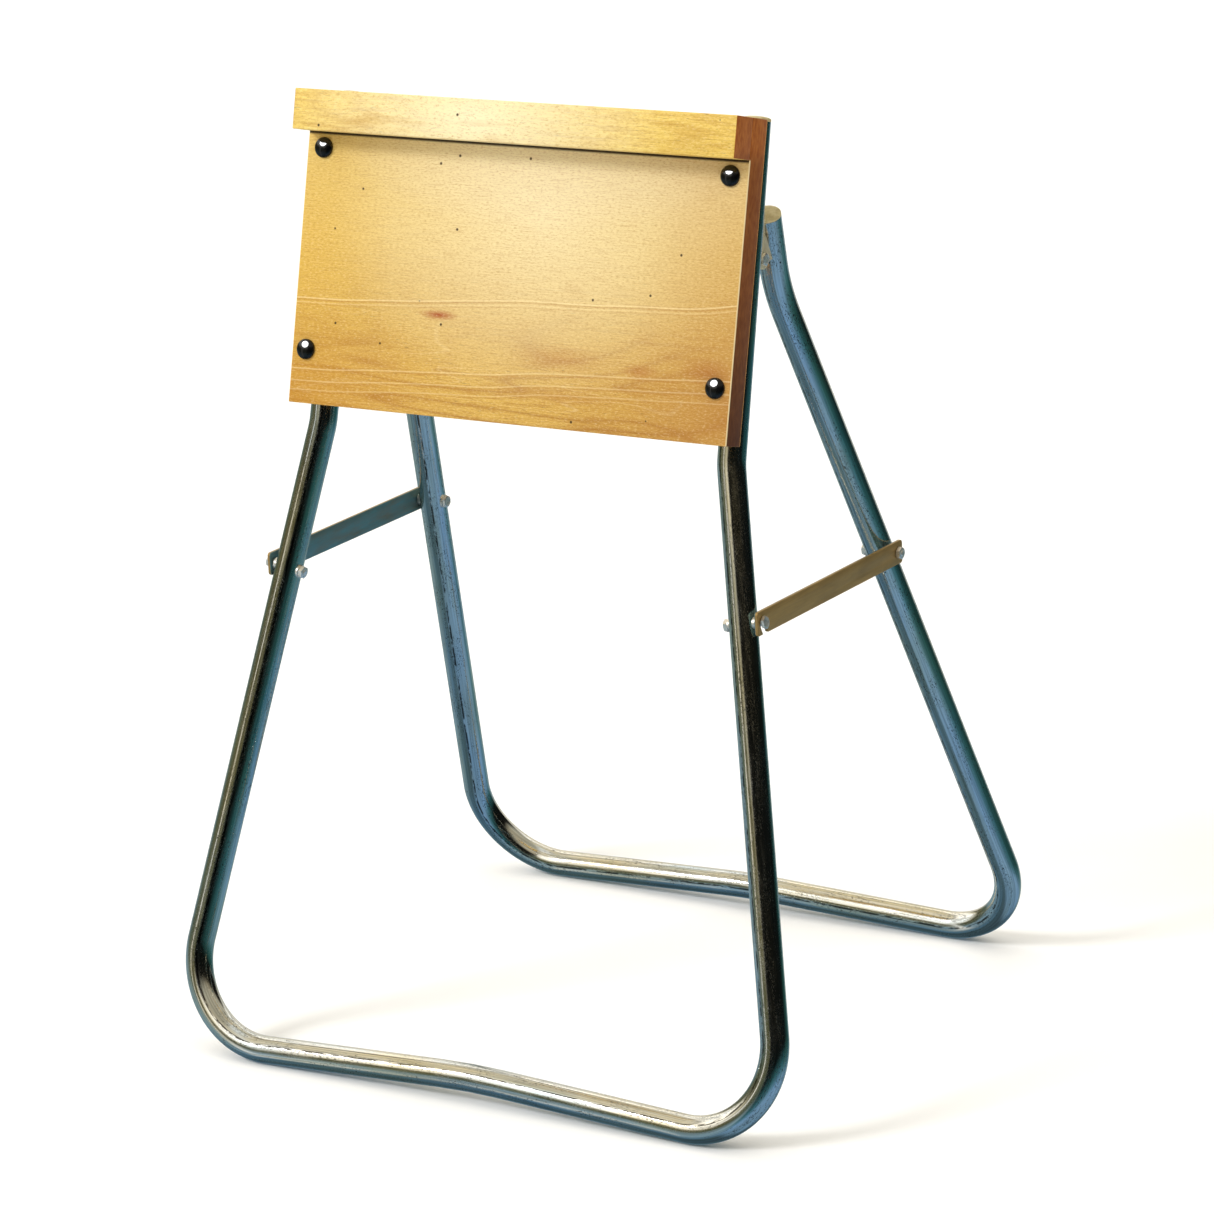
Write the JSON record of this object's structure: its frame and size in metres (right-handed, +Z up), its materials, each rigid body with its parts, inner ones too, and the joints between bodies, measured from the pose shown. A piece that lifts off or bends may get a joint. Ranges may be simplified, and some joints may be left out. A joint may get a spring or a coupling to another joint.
{
  "type": "folding trestle",
  "caption": "Folding stand of two bent steel tube frames hinged near the top, held apart by flat struts, with a wooden transom board and a cleat along its top.",
  "frame": {"origin": "on the floor at the middle of the footprint", "axes": "+Z up; the board faces -Y; +X to the right when looking at the board from the front is +X, and the stand is mirror-symmetric about X = 0"},
  "size_m": [0.626, 0.5296, 0.8604],
  "materials": {
    "tube_steel": "bright plated tube with worn patches",
    "lug_steel": "plated plate steel",
    "strut_steel": "dull plated flat bar",
    "zinc": "bright zinc-plated fastener",
    "black_bolt": "black domed head, semi-gloss",
    "board_wood": "varnished pine, grain across the width",
    "cleat_wood": "varnished pine, paler than the board",
    "cream_plastic": "moulded end plug"
  },
  "bodies": {
    "front_frame": {"front_tube": "tube_steel", "transom_board": "board_wood", "top_cleat": "cleat_wood", "carriage_bolts": "black_bolt", "carriage_washers": "zinc", "carriage_nuts": "zinc", "cleat_screws": "zinc", "front_left_plug": "cream_plastic", "front_right_plug": "cream_plastic", "front_left_lug": "lug_steel", "front_right_lug": "lug_steel", "left_hinge_bolt": "zinc", "right_hinge_bolt": "zinc", "left_hinge_nut": "zinc", "right_hinge_nut": "zinc", "hinge_washers": "zinc", "front_left_strut_bolt": "zinc", "front_right_strut_bolt": "zinc", "front_left_spacer": "zinc", "front_right_spacer": "zinc", "front_saddles": "zinc", "front_strut_nuts": "zinc"},
    "rear_frame": {"rear_tube": "tube_steel", "rear_left_plug": "cream_plastic", "rear_right_plug": "cream_plastic", "rear_left_lug": "lug_steel", "rear_right_lug": "lug_steel", "rear_left_strut_bolt": "zinc", "rear_right_strut_bolt": "zinc", "rear_left_spacer": "zinc", "rear_right_spacer": "zinc", "rear_saddles": "zinc", "rear_strut_nuts": "zinc"},
    "left_strut_arm": {"left_strut": "strut_steel"},
    "right_strut_arm": {"right_strut": "strut_steel"}
  },
  "joints": [
    {"name": "rear_frame_fold", "type": "hinge", "parent": "front_frame", "child": "rear_frame", "pos_m": [0, -0.02353, 0.724], "axis": [-1, 0, 0], "range_deg": [0, 35]},
    {"name": "left_strut_swing", "type": "hinge", "parent": "rear_frame", "child": "left_strut_arm", "pos_m": [0, 0.1106, 0.4264], "axis": [-1, 0, 0], "range_deg": [0, 69]},
    {"name": "right_strut_swing", "type": "hinge", "parent": "rear_frame", "child": "right_strut_arm", "pos_m": [0, 0.1106, 0.4264], "axis": [-1, 0, 0], "range_deg": [0, 69]}
  ],
  "couplings": [
    {"joint": "left_strut_swing", "follows": "rear_frame_fold", "ratio": 1.9705},
    {"joint": "right_strut_swing", "follows": "rear_frame_fold", "ratio": 1.9705}
  ]
}
